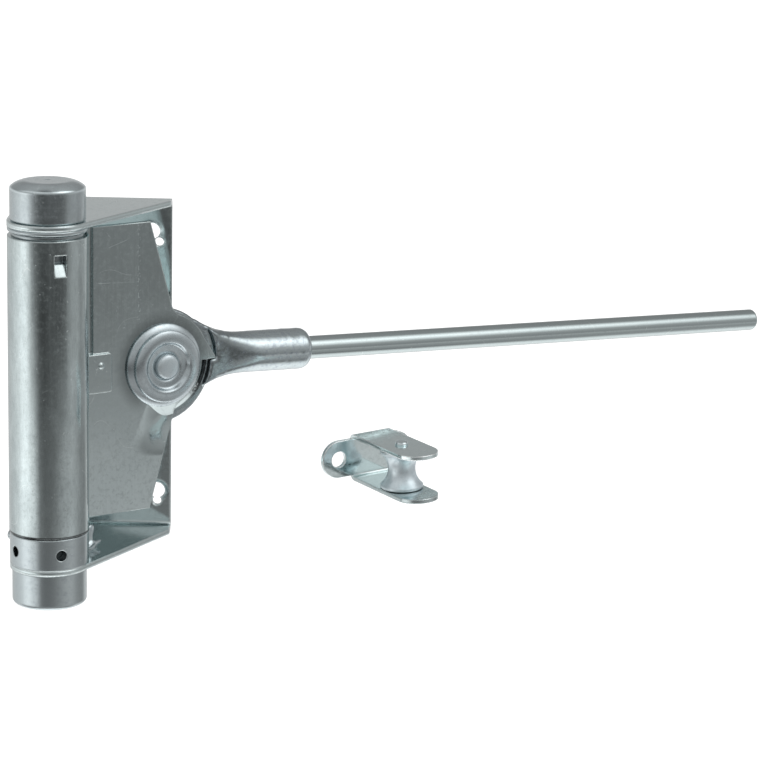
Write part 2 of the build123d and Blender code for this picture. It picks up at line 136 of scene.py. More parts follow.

# Angles round the pivot, in radians from the arm's side, as (start, end): where the nose's dish
# sets in and ends, its middle, and where the nose's painted shade sets in and its painted glints
# end by the stop
DISH_ENTRY = (-2.02, -1.45)
DISH_EXIT = (-1.1, -0.6)
NOSE_MIDDLE = -1.4
NOSE_DARK = (-0.92, -0.66)
GLINTS_END = (-0.60, -0.40)

# Lumps of the weld: height, waves along and across the bead, and phase
WELD_LUMPS = ((0.22, 9, 5, 0.0), (0.16, 17, -12, 1.0), (0.13, 7, 19, 0.6))

# Studio light, as (degrees, brightness). Round the object, from behind over the left, the front
# and the right: for directions that fall by less than some 12 degrees, and by more than 17
ROUND_HIGH = (
    (-180, 0.6), (-150, 0.62), (-137, 0.68), (-116, 0.8), (-100, 1.0), (-86, 1.2), (-74, 1.45),
    (-60, 1.4), (-51, 0.95), (-42, 0.45), (-33, 0.2), (-20, 0.09), (-7, 0.05), (10, 0.09),
    (30, 0.08), (50, 0.10), (58, 0.15), (66, 0.30), (76, 0.42), (97, 0.47), (110, 0.36),
    (125, 0.43), (145, 0.62), (179, 0.6),
)
ROUND_LOW = (
    (-180, 0.6), (-137, 0.73), (-117, 0.8), (-101, 0.92), (-87, 1.1), (-75, 1.5), (-60, 1.6),
    (-46, 1.25), (-37, 1.15), (-29, 0.7), (-20, 0.26), (-8, 0.18), (5, 0.18), (19, 0.24),
    (37, 0.40), (55, 0.56), (76, 0.62), (88, 0.5), (98, 0.36), (112, 0.28), (128, 0.26),
    (148, 0.75), (179, 0.6),
)

# Studio light from straight down to straight up: in front of the object, and behind it
UPRIGHT_FRONT = (
    (-90, 1.7), (-72, 1.7), (-62, 1.1), (-50, 0.22), (-36, 0.42), (0, 0.42), (14, 0.55),
    (26, 1.2), (38, 1.9), (56, 1.9), (68, 1.1), (78, 0.4), (90, 0.28),
)
UPRIGHT_BACK = (
    (-90, 1.7), (-50, 1.2), (-20, 0.6), (0, 0.72), (10, 0.50), (19, 0.30), (34, 0.32),
    (60, 0.40), (78, 0.36), (90, 0.28),
)
STUDIO_STRENGTH = 2.0

# The band of directions that fall a little: the height of its middle, and its width
BAND_MIDDLE = -0.24
BAND_WIDTH = 0.17

# Sockets of a Mix node that blends colours
MIX_FACTOR, MIX_FIRST, MIX_SECOND, MIX_RESULT = 0, 6, 7, 2


class Signal:
    """A node's output. Arithmetic on it adds Math nodes to its tree."""

    def __init__(self, tree, socket):
        self.tree = tree
        self.socket = socket

    def math(self, operation, *values):
        return self.tree.math(operation, *values)

    def __add__(self, other):
        return self.math("ADD", self, other)

    def __radd__(self, other):
        return self.math("ADD", other, self)

    def __sub__(self, other):
        return self.math("SUBTRACT", self, other)

    def __rsub__(self, other):
        return self.math("SUBTRACT", other, self)

    def __mul__(self, other):
        return self.math("MULTIPLY", self, other)

    def __rmul__(self, other):
        return self.math("MULTIPLY", other, self)

    def __truediv__(self, other):
        return self.math("DIVIDE", self, other)

    def __pow__(self, other):
        return self.math("POWER", self, other)


class Tree:
    """A node tree that is filled through one method."""

    def __init__(self, tree):
        self.tree = tree
        self.tree.nodes.clear()

    def node(self, kind, settings=None, values=None, output=0):
        """Adds a node, applies its settings, then sets or links its inputs."""
        made = self.tree.nodes.new(kind)
        for key, value in (settings or {}).items():
            if key == "stops":
                elements = made.color_ramp.elements
                elements.remove(elements[1])
                first = value[0][0]
                elements[0].position = first
                for position, brightness in value:
                    element = elements[0] if position == first else elements.new(position)
                    element.color = (brightness, brightness, brightness, 1)
            else:
                setattr(made, key, value)
        for key, value in (values or {}).items():
            if isinstance(value, Signal):
                self.tree.links.new(value.socket, made.inputs[key])
            else:
                made.inputs[key].default_value = value
        return Signal(self, made.outputs[output]) if made.outputs else None

    def split(self, vector):
        """The three components of a vector."""
        made = self.node("ShaderNodeSeparateXYZ", None, {"Vector": vector}).socket.node
        return [Signal(self, made.outputs[axis]) for axis in "XYZ"]

    def join(self, x, y, z):
        """A vector of three values."""
        return self.node("ShaderNodeCombineXYZ", None, {"X": x, "Y": y, "Z": z})

    def noise(self, place, scale, detail=2.0, rough=0.5):
        """Noise from 0 to 1 at a scale in cells per metre."""
        return self.node("ShaderNodeTexNoise", None,
                         {"Vector": place, "Scale": scale, "Detail": detail, "Roughness": rough})

    def math(self, operation, *values):
        """The result of one Math node."""
        return self.node("ShaderNodeMath", {"operation": operation}, dict(enumerate(values)))

    def step(self, value, low, high):
        """0 below low, 1 above high, smooth between."""
        return self.node("ShaderNodeMapRange", {"interpolation_type": "SMOOTHSTEP"},
                         {"Value": value, "From Min": low, "From Max": high,
                          "To Min": 0.0, "To Max": 1.0})

    def ramp(self, factor, stops, start, end):
        """Brightness read from (degrees, brightness) stops.

        The factor is 0 at start and 1 at end, in degrees. The background's strength, which
        multiplies the light later, is divided out of the brightness."""
        shares = [((degrees - start) / (end - start), brightness / STUDIO_STRENGTH)
                  for degrees, brightness in stops]
        return self.node("ShaderNodeValToRGB", {"stops": shares}, {"Fac": factor})

    def blend(self, factor, first, second):
        """A colour between two colours."""
        return self.node("ShaderNodeMix", {"data_type": "RGBA"},
                         {MIX_FACTOR: factor, MIX_FIRST: first, MIX_SECOND: second}, MIX_RESULT)


def new_material(name):
    """An empty node material."""
    material = bpy.data.materials.new(name)
    material.use_nodes = True
    return material, Tree(material.node_tree)


def opaque(colour):
    """A colour with full alpha."""
    return (*colour, 1.0)


def object_place(tree, matrix=None):
    """The point on the object, in metres, seen from a local frame if one is given."""
    place = tree.node("ShaderNodeTexCoord", output="Object")
    if matrix is None:
        return place
    inverse = matrix.inverted()
    return tree.node("ShaderNodeMapping", None,
                     {"Vector": place, "Location": inverse.to_translation(),
                      "Rotation": inverse.to_euler()})


def grain_point(tree, grain, x, y, z):
    """The point that the grain's noise reads.

    Turned grain runs round Z: its point is the distance from Z and the height."""
    if grain == "turned":
        x, y, z = (x * x + y * y) ** 0.5, z, 0.0
    return tree.join(*(value * scale for value, scale in zip((x, y, z), GRAINS[grain])))


def scratches(tree, place):
    """Hairlines where a smooth noise crosses its middle, kept only in patches: 1 on a line."""
    crossing = tree.noise(place, HAIRLINE_SCALE, detail=0.0)
    line = 1.0 - tree.math("ABSOLUTE", crossing - 0.5) / HAIRLINE_WIDTH
    patch = tree.step(tree.noise(place, HAIRLINE_SCALE * 2.3, detail=0.0), 0.56, 0.62)
    return tree.math("MAXIMUM", line, 0.0) * patch


def worn_and_highlit_edge(tree, radius):
    """A normal rounded over the edges, and its lean from the face's own: 0 on the flat. The lean
    masks the edges' wear and their painted highlight.
    """
    rounded = tree.node("ShaderNodeBevel", {"samples": 6}, {"Radius": radius})
    face = tree.node("ShaderNodeNewGeometry", output="Normal")
    along = tree.node("ShaderNodeVectorMath", {"operation": "DOT_PRODUCT"},
                      {0: rounded, 1: face}, "Value")
    return rounded, tree.step(1.0 - along, 0.02, 0.22)


def zinc(name, finish, grain, matrix=None, edge=0.0007, extra=None, shade=1.0, rough=0.0):
    """Zinc plating: cloudy tint, grain, dull patches, hairlines, and worn edges with a painted
    highlight.

    grain says how the grain runs in the local frame: "sheet" along Z, "turned" round Z, "drawn"
    along X, "forged" every way. edge is how far the edges are worn round and painted with a
    highlight, in metres. extra is a function that adds relief, in metres, and shade scales the
    tint, painting light and shade on some parts: it is a number, or a function as extra is, of
    the tree and the three coordinates. rough adds to the roughness."""
    material, tree = new_material(name)
    place = object_place(tree, matrix)
    x, y, z = tree.split(place)
    streak = tree.noise(grain_point(tree, grain, x, y, z), 1.0, detail=3.0, rough=0.6)
    pebble = tree.noise(place, PEBBLE_SCALE, detail=2.0, rough=0.6)
    wave = tree.noise(place, WAVE_SCALE, detail=2.0, rough=0.5)
    cloud = tree.noise(place, CLOUD_SCALE, detail=4.0, rough=0.6)
    patch = tree.step(tree.noise(place, PATCH_SCALE, detail=4.0, rough=0.75), 0.46, 0.70)
    fleck = tree.step(tree.noise(place, FLECK_SCALE, detail=0.0), 0.82, 0.86) * finish.flecks
    hairline = scratches(tree, place) * finish.hairlines
    rounded, wear_and_highlight = worn_and_highlit_edge(tree, edge)

    rubbed_and_highlit = opaque(finish.rubbed_and_highlight_tint)
    colour = tree.blend(cloud, opaque(finish.bright_tint), opaque(finish.dull_tint))
    colour = tree.blend(patch * finish.patches, colour, opaque(finish.spot_tint))
    colour = tree.blend(tree.math("MAXIMUM", fleck, hairline), colour, rubbed_and_highlit)
    # Edges take the rubbed tint: worn plating and a painted edge highlight in one
    colour = tree.blend(wear_and_highlight * finish.wear_and_highlight, colour, rubbed_and_highlit)
    colour = tree.node("ShaderNodeVectorMath", {"operation": "SCALE"},
                       {0: colour, "Scale": shade(tree, x, y, z) if callable(shade) else shade})
    roughness = (finish.roughness + rough + patch * finish.dulling
                 + (streak - 0.5) * finish.streaks + (cloud - 0.5) * CLOUD_ROUGHNESS
                 + fleck * FLECK_ROUGHNESS + hairline * HAIRLINE_ROUGHNESS)
    relief = (streak * finish.grain_depth + pebble * finish.pebble_depth
              + wave * finish.wave_depth - fleck * FLECK_DEPTH)
    if extra:
        relief = relief + extra(tree, x, y, z)
    normal = tree.node("ShaderNodeBump", None,
                       {"Strength": 1.0, "Distance": 1.0, "Height": relief, "Normal": rounded})
    shader = tree.node("ShaderNodeBsdfPrincipled", None,
                       {"Base Color": colour, "Metallic": 1.0, "Roughness": roughness,
                        "Normal": normal})
    tree.node("ShaderNodeOutputMaterial", None, {"Surface": shader})
    return material


def dress(node_names, material):
    """Gives CAD nodes their material."""
    for name in node_names:
        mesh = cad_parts[name].data
        mesh.materials.clear()
        mesh.materials.append(material)


def link(name, mesh):
    """An object for a finished mesh, in the scene."""
    made = bpy.data.objects.new(name, mesh)
    bpy.context.scene.collection.objects.link(made)
    return made


def grid_mesh(name, points, wrap_rows=False, wrap_columns=False):
    """A mesh from a grid of points, closed along either index where asked. Doubles are merged."""
    rows, columns = points.shape[:2]
    index = np.arange(rows * columns).reshape(rows, columns)
    if wrap_rows:
        index = np.concatenate([index, index[:1]], axis=0)
    if wrap_columns:
        index = np.concatenate([index, index[:, :1]], axis=1)
    faces = np.stack([index[:-1, :-1], index[1:, :-1], index[1:, 1:], index[:-1, 1:]], -1)
    mesh = bpy.data.meshes.new(name)
    mesh.from_pydata(points.reshape(-1, 3).tolist(), [], faces.reshape(-1, 4).tolist())
    body = bmesh.new()
    body.from_mesh(mesh)
    bmesh.ops.remove_doubles(body, verts=body.verts, dist=1e-7)
    bmesh.ops.recalc_face_normals(body, faces=body.faces)
    body.to_mesh(mesh)
    body.free()
    mesh.validate()
    mesh.shade_smooth()
    return link(name, mesh)


def placed(points, matrix):
    """Points of a local frame in the object's own."""
    turn = np.array(matrix.to_3x3())
    return points @ turn.T + np.array(matrix.to_translation())


def arc(centre, radii, start, end, count):
    """(radius, height) points on an ellipse's arc, its angles in degrees."""
    turn = np.radians(np.linspace(start, end, count))
    return np.stack([centre[0] + radii[0] * np.cos(turn),
                     centre[1] + radii[1] * np.sin(turn)], -1)


def swing(start, end, count):
    """(radius, height) points from start to end along half a cosine wave."""
    share = np.linspace(0, 1, count)
    ease = (1 - np.cos(math.pi * share)) / 2
    return np.stack([start[0] + (end[0] - start[0]) * share,
                     start[1] + (end[1] - start[1]) * ease], -1)


def lathe(name, profile, closed):
    """A profile of (radius, height) points turned about the pivot in 144 steps."""
    profile = np.concatenate([np.reshape(part, (-1, 2)) for part in profile])
    turn = np.linspace(0, 2 * math.pi, 144, endpoint=False)
    radius, height = profile[:, :1], profile[:, 1:]
    points = np.stack([radius * np.cos(turn), radius * np.sin(turn), height + 0 * turn], -1)
    return grid_mesh(name, placed(points, PIVOT), wrap_rows=closed, wrap_columns=True)


def base_washer(sizes):
    """Upright rim, a small round, then a cone up to the face that carries the cup washer."""
    rim, top, cone = sizes.base_radius, sizes.base_height, sizes.base_cone
    foot = 0.32 * top
    bend = 0.0004
    return lathe("base_washer", [
        (RIVET_RADIUS, 0), (rim, 0), (rim, foot),
        arc((rim - bend, foot), (bend, bend), 8, 60, 6),
        (rim - 0.5 * cone, 0.5 * (foot + bend + top)), (rim - cone, top),
        (RIVET_RADIUS, top)], closed=True)


def cup_washer(sizes):
    """A quarter ellipse up to the crown, half a cosine wave down to the floor, a low bead."""
    foot, crown, floor = sizes.base_height, sizes.cup_crown, sizes.cup_floor
    outer, ring, inner = sizes.cup_radius, sizes.crown_radius, sizes.floor_radius
    lip = 0.0004
    crown_reach = 0.0006
    bead_dip = 0.0001
    wide = 1.22 * (outer - ring)
    return lathe("cup_washer", [
        (RIVET_RADIUS, foot), (outer, foot), (outer, foot + 0.5 * lip),
        arc((ring, foot + lip), (wide, crown - lip), 35, 90, 15),
        swing((ring - crown_reach, foot + crown), (inner, foot + floor), 21),
        (0.5 * inner + 0.5 * RIVET_RADIUS, foot + floor - bead_dip),
        (RIVET_RADIUS, foot + floor)], closed=True)


def rivet(sizes):
    """Domed head behind, shank, and a stub whose end is rounded over and faintly crowned."""
    foot, back = RIVET_FOOT, RIVET_FOOT - sizes.rivet_head_height
    head_radius, dome = 0.009, 0.0024
    top, edge = sizes.stub_height, sizes.stub_round
    shoulder = 1.3 * edge
    crown_inset, crown = 0.00004, 0.0005
    return lathe("rivet", [
        (0, back), arc((0, back + dome), (head_radius, dome), -88, 0, 15),
        (head_radius, foot), (RIVET_RADIUS, foot), (RIVET_RADIUS, top - shoulder),
        arc((RIVET_RADIUS - edge, top - shoulder), (edge, shoulder), 4, 78, 11),
        arc((0, top - crown_inset), (RIVET_RADIUS - 0.9 * edge, crown), 24, 90, 11)],
        closed=False)


def fade(values, span):
    """0 before the span, 1 after it, and straight between."""
    return np.clip((values - span[0]) / (span[1] - span[0]), 0, 1)


def vertex_rows(mesh, key):
    """A mesh's vertex places or normals, a row of three for each."""
    values = np.empty(len(mesh.vertices) * 3, np.float32)
    mesh.vertices.foreach_get(key, values)
    return values.reshape(-1, 3)


def merged(mesh, distance):
    """The mesh, with its loose triangles joined."""
    body = bmesh.new()
    body.from_mesh(mesh)
    bmesh.ops.remove_doubles(body, verts=body.verts, dist=distance)
    body.to_mesh(mesh)
    body.free()
    return mesh


def forging(sizes):
    """The eye and socket as forged: the sharp shape, remeshed and worn round by smoothing.

    The throat between eye and socket gets more rounds, and is then let out again by what they
    take off it."""
    source = link("forging_source", merged(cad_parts["arm_socket"].data.copy(), 1e-6))
    remesh = source.modifiers.new("remesh", "REMESH")
    remesh.mode = "VOXEL"
    remesh.voxel_size = sizes.mesh_grain
    graph = bpy.context.evaluated_depsgraph_get()
    mesh = bpy.data.meshes.new_from_object(source.evaluated_get(graph))
    bpy.data.objects.remove(source)

    along = placed(vertex_rows(mesh, "co"), ARM.inverted())[:, 0]
    throat = fade(along, THROAT_ENTRY) * (1 - fade(along, THROAT_EXIT))
    body = bmesh.new()
    body.from_mesh(mesh)
    body.verts.ensure_lookup_table()
    inside = [body.verts[index] for index in np.flatnonzero(throat > 0)]
    middle = [body.verts[index] for index in np.flatnonzero(throat > 0.7)]
    for count, chosen in ((sizes.all_rounds, body.verts), (sizes.throat_rounds, inside),
                          (sizes.throat_rounds, middle)):
        for _ in range(count):
            bmesh.ops.smooth_vert(body, verts=chosen, factor=0.5, use_axis_x=True,
                                  use_axis_y=True, use_axis_z=True)
    body.to_mesh(mesh)
    body.free()
    let_out = sizes.let_out * (0.3 + 0.7 * throat[:, None])
    points = vertex_rows(mesh, "co") + vertex_rows(mesh, "normal") * let_out
    mesh.vertices.foreach_set("co", points.astype(np.float32).ravel())
    mesh.update()
    mesh.materials.clear()
    mesh.shade_smooth()
    return link("forged_eye", mesh)


def round_pivot(tree, x, z):
    """A point's distance from the pivot, and its angle round it from the arm's side."""
    across = x - PIVOT_REACH
    rise = z - LEAF_MIDDLE
    return (across * across + rise * rise) ** 0.5, tree.math("ARCTAN2", rise, across)


def nose_dish(tree, x, y, z):
    """Relief of the leaf's nose below the washers, where it starts to roll back.

    The face falls from the washer's rim outwards, at a slope that fades with the distance, and
    the strip that falls narrows to nothing at both ends."""
    rim, widest, slope = 0.0162, 0.0042, 0.62
    radius, turn = round_pivot(tree, x, z)
    width = widest * tree.step(turn, *DISH_ENTRY) * (1.0 - tree.step(turn, *DISH_EXIT))
    fall = tree.math("MINIMUM", tree.math("MAXIMUM", radius - rim, 0.0), width)
    return fall * (tree.step(radius, *DISH_FADE) - 1.0) * slope


def drawn_line(tree, distance, along, start, end):
    """A fine line: 1 where distance is nought and along lies between start and end."""
    line = 1.0 - tree.math("ABSOLUTE", distance) / SCRATCH_HALF_WIDTH
    begun = tree.step(along, start, start + SCRATCH_FADE)
    ended = tree.step(along, end - SCRATCH_FADE, end)
    return tree.math("MAXIMUM", line, 0.0) * begun * (1.0 - ended)


def leaf_marks(tree, x, z):
    """Where the tool held the blank: a dull strip beyond it, specks on its edge, scratches."""
    strip = tree.step(x, TOOL_EDGE - 0.0002, TOOL_EDGE + 0.0002) * tree.step(z, *STRIP_START)
    speck = tree.step(tree.noise(tree.join(x, 0.0, z), 1300.0, detail=0.0), 0.60, 0.66)
    near = 1.0 - tree.step(tree.math("ABSOLUTE", x - TOOL_EDGE), 0.0004, 0.0010)
    marks = speck * near * tree.step(z, *SPECKS_START) * 0.35 - strip * 0.10
    for start, end, point_x, point_z, slope, strength in LEAF_SCRATCHES:
        distance = z - point_z - (x - point_x) * slope
        marks = marks + drawn_line(tree, distance, x, start, end) * strength
    return marks


def blotches(tree, x, y, z, upright):
    """Blotches of thicker plating, as noise from 0 to 1. upright is their scale along Z."""
    return tree.noise(tree.join(x * 190.0, y * 190.0, z * upright), 1.0, detail=5.0, rough=0.75)


def tube_mottle_and_foot_shade(tree, x, y, z):
    """Upright blotches on the rolled tube, and painted shade as a dark line where its foot meets
    the collar.
    """
    on_tube = 1.0 - tree.step((x * x + y * y) ** 0.5, *TUBE_TO_LEAF)
    # Painted shade in the thin gap between the tube's foot and the collar
    foot = 1.0 - tree.step(z, TUBE_FOOT + 0.0005, TUBE_FOOT + 0.0009)
    return ((blotches(tree, x, y, z, 70.0) - 0.52) * 0.9 - foot * 0.8) * on_tube


def leaf_shade(tree, x, y, z):
    """Painted shade round the washers, the tool's marks, and the tube's mottling with painted
    shade at its foot.
    """
    radius, turn = round_pivot(tree, x, z)
    # Painted shade round the washers, kept off the middle of the nose below them
    washer_shade = 1.0 - tree.step(radius, *WASHER_SHADE_SPAN)
    washer_shade = washer_shade * tree.step(tree.math("ABSOLUTE", turn - NOSE_MIDDLE), 0.5, 1.0)
    return 1.05 - washer_shade * 0.45 + leaf_marks(tree, x, z) + tube_mottle_and_foot_shade(tree, x, y, z)


def throat_shade(tree, x, y, z):
    """The forging's eye is painted darker than its socket, as painted shade."""
    return 0.74 + 0.30 * tree.step(x, *EYE_TO_SOCKET)


def clevis_shade(tree, x, y, z):
    """The clevis is painted brighter above its lower flange: painted shade on the flange, painted
    light above it.
    """
    return 1.05 + 0.55 * tree.step(z, CLEVIS_FLOOR - 0.001, CLEVIS_FLOOR + 0.002)


def cap_shade(tree, x, y, z):
    """The cap's cone is painted brighter than its side, as painted light from above, and both are
    mottled.
    """
    # Painted light on the cap's cone
    cone = tree.step(z, CAP_EDGE - 0.0003, CAP_EDGE + 0.0006)
    return 0.97 + cone * 0.35 + (blotches(tree, x, y, z, 120.0) - 0.5) * 0.5


def plug_shade(tree, x, y, z):
    """Painted shade above the lower cap, inside the collar."""
    return 1.0 - 0.85 * tree.step(z, LOWER_EAR_TOP - 0.0012, LOWER_EAR_TOP - 0.0004)


def nose_shade(tree, x, y, z):
    """Painted highlight below the washers, painted shade near the stop, with painted glints as
    bright specks between.
    """
    turn = tree.math("ARCTAN2", y, x)
    # Bright specks are painted glints, and dark is painted shade towards the stop
    speck = tree.step(tree.noise(tree.join(x, y, z), 1500.0, detail=1.0), 0.50, 0.60)
    dark = tree.step(turn, *NOSE_DARK)
    return 1.25 - dark * (1.10 - 0.70 * speck * (1.0 - tree.step(turn, *GLINTS_END)))


def nose_roll(sizes):
    """The leaf's nose below the stop, rolled back round the washers.

    Across, from share 0 at the washer's rim to 1 at the outside, the front falls by depth times
    share**1.1, and the strip thins to an edge there. Over the last 0.28 of its length it sinks
    into the leaf, by the square of the way along. Both ends close in a point."""
    wall, sunk, clearance = 0.0005, 0.0012, 0.00003
    share = np.linspace(0, 1, 15)
    radius = sizes.roll_inside + (sizes.roll_outside - sizes.roll_inside) * share
    front = -sizes.roll_depth * share ** 1.1
    back = front - wall * (1 - share)
    across = np.concatenate([np.stack([radius, front], -1), np.stack([radius, back], -1)[::-1]])
    turn = np.linspace(sizes.roll_start, sizes.roll_end, 121)[:, None]
    sink = sunk * fade(np.linspace(0, 1, 121)[:, None], (0.72, 1)) ** 2
    points = np.stack([across[:, 0] * np.cos(turn), across[:, 0] * np.sin(turn),
                       across[:, 1] - sink - clearance + 0 * turn], -1)
    ends = points.mean(axis=1, keepdims=True)
    points[:1] = ends[:1]
    points[-1:] = ends[-1:]
    return grid_mesh("nose_roll", placed(points, PIVOT), wrap_columns=True)


def weld_bead(sizes):
    """Lumpy weld between the collar and the lower ear.

    Along t, from 0 on the collar to 1 on the ear, a point follows a bulged quarter curve whose
    height and reach shrink as (1 - a*a) towards the ends a = -1 and 1. A crest, as
    exp(-(a/width)**2), raises its middle. Ripples and lumps are sums of sines."""
    bead_height, bead_reach, sunk_in, sunk_down = 0.0026, 0.0024, 0.0004, 0.0003
    a, t = np.meshgrid(np.linspace(-1, 1, 81), np.linspace(0, 1, 61), indexing="ij")
    crest = np.exp(-(a / 0.24) ** 2)
    swell = (1 - a * a) ** 0.5
    height = bead_height * swell + sizes.climb * crest
    reach = bead_reach * swell + sizes.run * np.exp(-(a / 0.40) ** 2)
    lumps = sum(amount * np.sin(along * a + across * t + phase)
                for amount, along, across, phase in WELD_LUMPS)
    bulge = 1 + lumps * np.sin(t * math.pi)
    power = 0.85 + 0.5 * crest
    radius = COLLAR_RADIUS - sunk_in + reach * np.sin(t * math.pi / 2) ** power * bulge
    rise = -sunk_down + height * np.cos(t * math.pi / 2) ** power * bulge
    turn = sizes.crest_turn + a * sizes.half_spread * (1 - 0.25 * t)
    points = np.stack([radius * np.cos(turn), BARREL_AXIS[1] + radius * np.sin(turn),
                       LOWER_EAR_TOP + rise], -1)
    return grid_mesh("weld_bead", points)


def level(label, note, value):
    """A slider of a finish, from 0 to 1."""
    return bpy.props.FloatProperty(name=label, description=note, min=0, max=1, default=value)


def tint(label, note, value):
    """A colour of a finish."""
    return bpy.props.FloatVectorProperty(name=label, description=note, subtype="COLOR", size=3,
                                         min=0, max=1, default=value)


def length(label, note, value):
    """A length of a piece or of a relief, in metres."""
    return bpy.props.FloatProperty(name=label, description=note, unit="LENGTH", min=0,
                                   precision=6, default=value)


def angle(label, note, value):
    """An angle, given in degrees and kept in radians."""
    return bpy.props.FloatProperty(name=label, description=note, subtype="ANGLE",
                                   default=math.radians(value))


def rounds(label, note, value):
    """A count of smoothing's rounds."""
    return bpy.props.IntProperty(name=label, description=note, min=0, default=value)


class GateCloserSheetFinish(bpy.types.PropertyGroup):
    """Bright zinc on folded and rolled sheet."""

    bright_tint: tint("Bright tint", "Plating where it is cleanest", (0.54, 0.605, 0.605))
    dull_tint: tint("Dull tint", "Plating where its passivation is thicker", (0.48, 0.55, 0.56))
    spot_tint: tint("Patch tint", "Plating on the dull patches", (0.46, 0.52, 0.52))
    rubbed_and_highlight_tint: tint("Worn tint", "Plating rubbed bright on the edges", (0.80, 0.86, 0.86))
    roughness: level("Roughness", "Roughness of the clean plating", 0.10)
    dulling: level("Dulling", "Roughness that the dull patches add", 0.10)
    streaks: level("Streaks", "How much the grain changes the roughness", 0.10)
    patches: level("Patches", "How strongly the dull patches are tinted", 0.5)
    flecks: level("Flecks", "How strongly small bright flecks show", 0.35)
    hairlines: level("Hairlines", "How strongly fine scratches show", 0.4)
    wear_and_highlight: level("Wear", "How bright the edges are rubbed", 0.5)
    grain_depth: length("Grain depth", "Relief of the grain", 0.0000035)
    pebble_depth: length("Pebble depth", "Relief of the fine pebbling", 0.0000015)
    wave_depth: length("Wave depth", "Relief of the slow waves", 0.000010)


class GateCloserTurnedFinish(bpy.types.PropertyGroup):
    """Satin zinc on turned and pressed round parts."""

    bright_tint: tint("Bright tint", "Plating where it is cleanest", (0.54, 0.60, 0.60))
    dull_tint: tint("Dull tint", "Plating where its passivation is thicker", (0.47, 0.53, 0.56))
    spot_tint: tint("Patch tint", "Plating on the dull patches", (0.47, 0.52, 0.56))
    rubbed_and_highlight_tint: tint("Worn tint", "Plating rubbed bright on the edges", (0.82, 0.88, 0.88))
    roughness: level("Roughness", "Roughness of the clean plating", 0.16)
    dulling: level("Dulling", "Roughness that the dull patches add", 0.09)
    streaks: level("Streaks", "How much the grain changes the roughness", 0.10)
    patches: level("Patches", "How strongly the dull patches are tinted", 0.35)
    flecks: level("Flecks", "How strongly small bright flecks show", 0.2)
    hairlines: level("Hairlines", "How strongly fine scratches show", 0.12)
    wear_and_highlight: level("Wear", "How bright the edges are rubbed", 0.4)
    grain_depth: length("Grain depth", "Relief of the grain", 0.0000012)
    pebble_depth: length("Pebble depth", "Relief of the fine pebbling", 0.0000008)
    wave_depth: length("Wave depth", "Relief of the slow waves", 0.000008)


class GateCloserForgedFinish(bpy.types.PropertyGroup):
    """Bright zinc over a forging's rough skin."""

    bright_tint: tint("Bright tint", "Plating where it is cleanest", (0.57, 0.63, 0.65))
    dull_tint: tint("Dull tint", "Plating where its passivation is thicker", (0.47, 0.54, 0.55))
    spot_tint: tint("Patch tint", "Plating in the forging's pits", (0.40, 0.45, 0.50))
    rubbed_and_highlight_tint: tint("Worn tint", "Plating rubbed bright on the edges", (0.80, 0.84, 0.88))
    roughness: level("Roughness", "Roughness of the clean plating", 0.15)
    dulling: level("Dulling", "Roughness that the dull patches add", 0.10)
    streaks: level("Streaks", "How much the grain changes the roughness", 0.15)
    patches: level("Patches", "How strongly the dull patches are tinted", 0.9)
    flecks: level("Flecks", "How strongly small bright flecks show", 0.3)
    hairlines: level("Hairlines", "How strongly fine scratches show", 0.2)
    wear_and_highlight: level("Wear", "How bright the edges are rubbed", 0.25)
    grain_depth: length("Grain depth", "Relief of the skin's fine grain", 0.00003)
    pebble_depth: length("Pebble depth", "Relief of the fine pebbling", 0.000012)
    wave_depth: length("Wave depth", "Relief of the hammered waves", 0.00010)


class GateCloserRollerFinish(bpy.types.PropertyGroup):
    """Pale satin zinc on the roller and the worked end of the rivet."""

    bright_tint: tint("Bright tint", "Plating where it is cleanest", (0.88, 0.96, 0.98))
    dull_tint: tint("Dull tint", "Plating where its passivation is thicker", (0.70, 0.80, 0.85))
    spot_tint: tint("Patch tint", "Plating on the dull patches", (0.60, 0.69, 0.73))
    rubbed_and_highlight_tint: tint("Worn tint", "Plating rubbed bright on the edges", (0.90, 0.95, 0.95))
    roughness: level("Roughness", "Roughness of the clean plating", 0.40)
    dulling: level("Dulling", "Roughness that the dull patches add", 0.10)
    streaks: level("Streaks", "How much the grain changes the roughness", 0.12)
    patches: level("Patches", "How strongly the dull patches are tinted", 0.5)
    flecks: level("Flecks", "How strongly small bright flecks show", 0.2)
    hairlines: level("Hairlines", "How strongly fine scratches show", 0.3)
    wear_and_highlight: level("Wear", "How bright the edges are rubbed", 0.4)
    grain_depth: length("Grain depth", "Relief of the grain", 0.000004)
    pebble_depth: length("Pebble depth", "Relief of the fine pebbling", 0.000003)
    wave_depth: length("Wave depth", "Relief of the slow waves", 0.00001)


class GateCloserSpringFinish(bpy.types.PropertyGroup):
    """Dark oiled steel of the wound spring."""

    bright_tint: tint("Bright tint", "Steel where the oil is thin", (0.22, 0.23, 0.24))
    dull_tint: tint("Dull tint", "Steel where the oil is thick", (0.10, 0.105, 0.11))
    spot_tint: tint("Patch tint", "Scale that is left on the wire", (0.07, 0.07, 0.075))
    rubbed_and_highlight_tint: tint("Worn tint", "Steel rubbed bright on the coils", (0.42, 0.43, 0.44))
    roughness: level("Roughness", "Roughness of the clean wire", 0.3)
    dulling: level("Dulling", "Roughness that the scale adds", 0.25)
    streaks: level("Streaks", "How much the grain changes the roughness", 0.2)
    patches: level("Patches", "How strongly the scale is tinted", 0.7)
    flecks: level("Flecks", "How strongly small bright flecks show", 0.1)
    hairlines: level("Hairlines", "How strongly fine scratches show", 0.2)
    wear_and_highlight: level("Wear", "How bright the edges are rubbed", 0.2)
    grain_depth: length("Grain depth", "Relief of the drawn grain", 0.000006)
    pebble_depth: length("Pebble depth", "Relief of the fine pebbling", 0.00001)
    wave_depth: length("Wave depth", "Relief of the slow waves", 0.00002)


